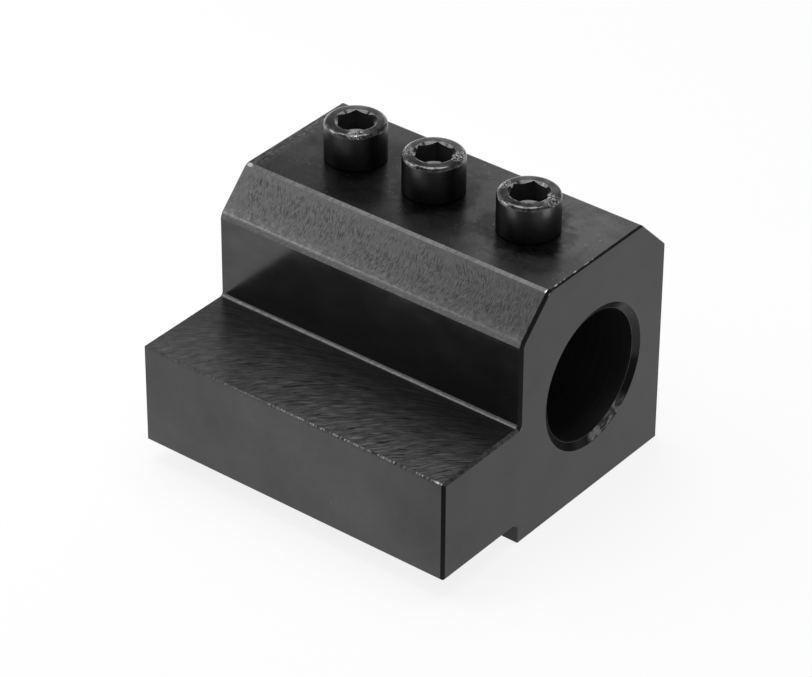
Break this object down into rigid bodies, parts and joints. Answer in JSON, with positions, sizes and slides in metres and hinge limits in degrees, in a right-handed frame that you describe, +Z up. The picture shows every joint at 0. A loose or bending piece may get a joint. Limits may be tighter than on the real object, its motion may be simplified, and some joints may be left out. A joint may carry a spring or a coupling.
{
  "type": "boring bar holder",
  "caption": "Black steel tool block with a through bore for a round bar, a square clamping leg along one side and socket head clamp screws on top.",
  "frame": {"origin": "centre of the bar bore, half way along the block", "axes": "-Y along the bore out of the front end, -X towards the clamping leg, +Z up towards the clamp screws"},
  "size_m": [0.1, 0.1064, 0.0892],
  "materials": {
    "blackened_steel": "black oxide over ground and milled steel, satin",
    "black_screw_steel": "black oxide, oiled, glossy"
  },
  "bodies": {
    "holder": {"holder_block": "blackened_steel"},
    "clamp_screw_front": {"clamp_screw_front": "black_screw_steel"},
    "clamp_screw_middle": {"clamp_screw_middle": "black_screw_steel"},
    "clamp_screw_rear": {"clamp_screw_rear": "black_screw_steel"}
  },
  "joints": [
    {"name": "front_screw_travel", "type": "slide", "parent": "holder", "child": "clamp_screw_front", "axis": [0, 0, 1], "range_m": [-0.0001, 0.016]},
    {"name": "middle_screw_travel", "type": "slide", "parent": "holder", "child": "clamp_screw_middle", "axis": [0, 0, 1], "range_m": [-0.0001, 0.016]},
    {"name": "rear_screw_travel", "type": "slide", "parent": "holder", "child": "clamp_screw_rear", "axis": [0, 0, 1], "range_m": [-0.0001, 0.016]}
  ]
}
